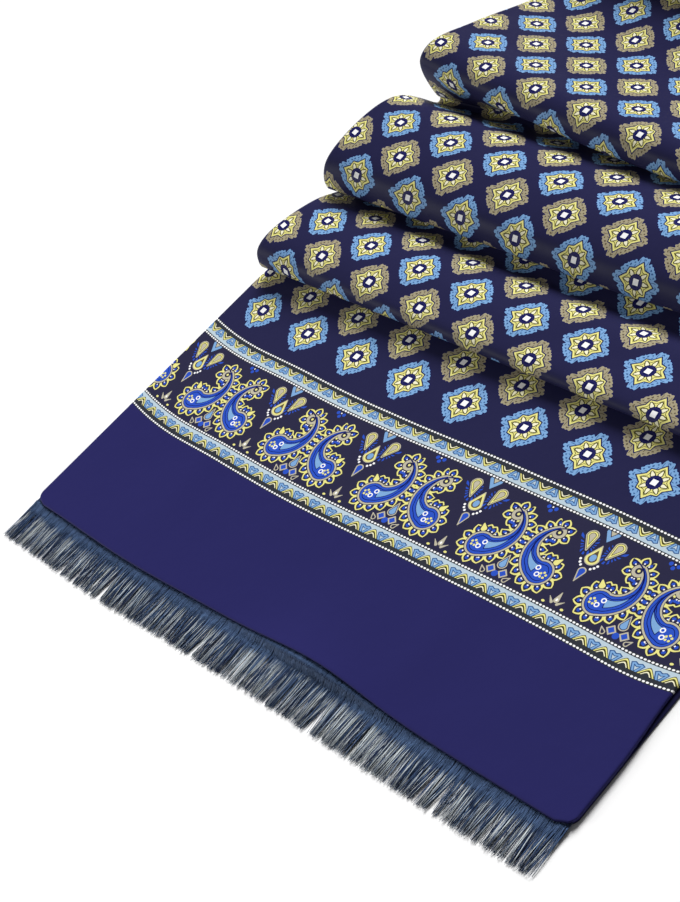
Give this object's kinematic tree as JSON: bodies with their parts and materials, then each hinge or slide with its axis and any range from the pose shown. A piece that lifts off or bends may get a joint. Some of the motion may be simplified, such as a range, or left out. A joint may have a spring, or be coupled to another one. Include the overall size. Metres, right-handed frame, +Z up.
{
  "type": "silk scarf",
  "caption": "Long double silk scarf with a fringe at each end, lying flat at both ends and pushed into soft leaning folds between.",
  "frame": {"origin": "on the table the scarf lies on, under the middle of its box", "axes": "+X across the scarf, +Y along it from the near fringe to the far one, +Z up"},
  "size_m": [0.3, 1.2068, 0.0313],
  "materials": {
    "printed_silk": "satin printed silk, navy with a blue, tan and yellow pattern",
    "plain_silk": "satin plain silk, navy",
    "fringe_silk": "fine silk threads, slate blue and silver"
  },
  "bodies": {
    "root": {"front_panel": "printed_silk", "back_panel": "plain_silk", "fringe_near": "fringe_silk", "fringe_far": "fringe_silk"}
  },
  "joints": []
}
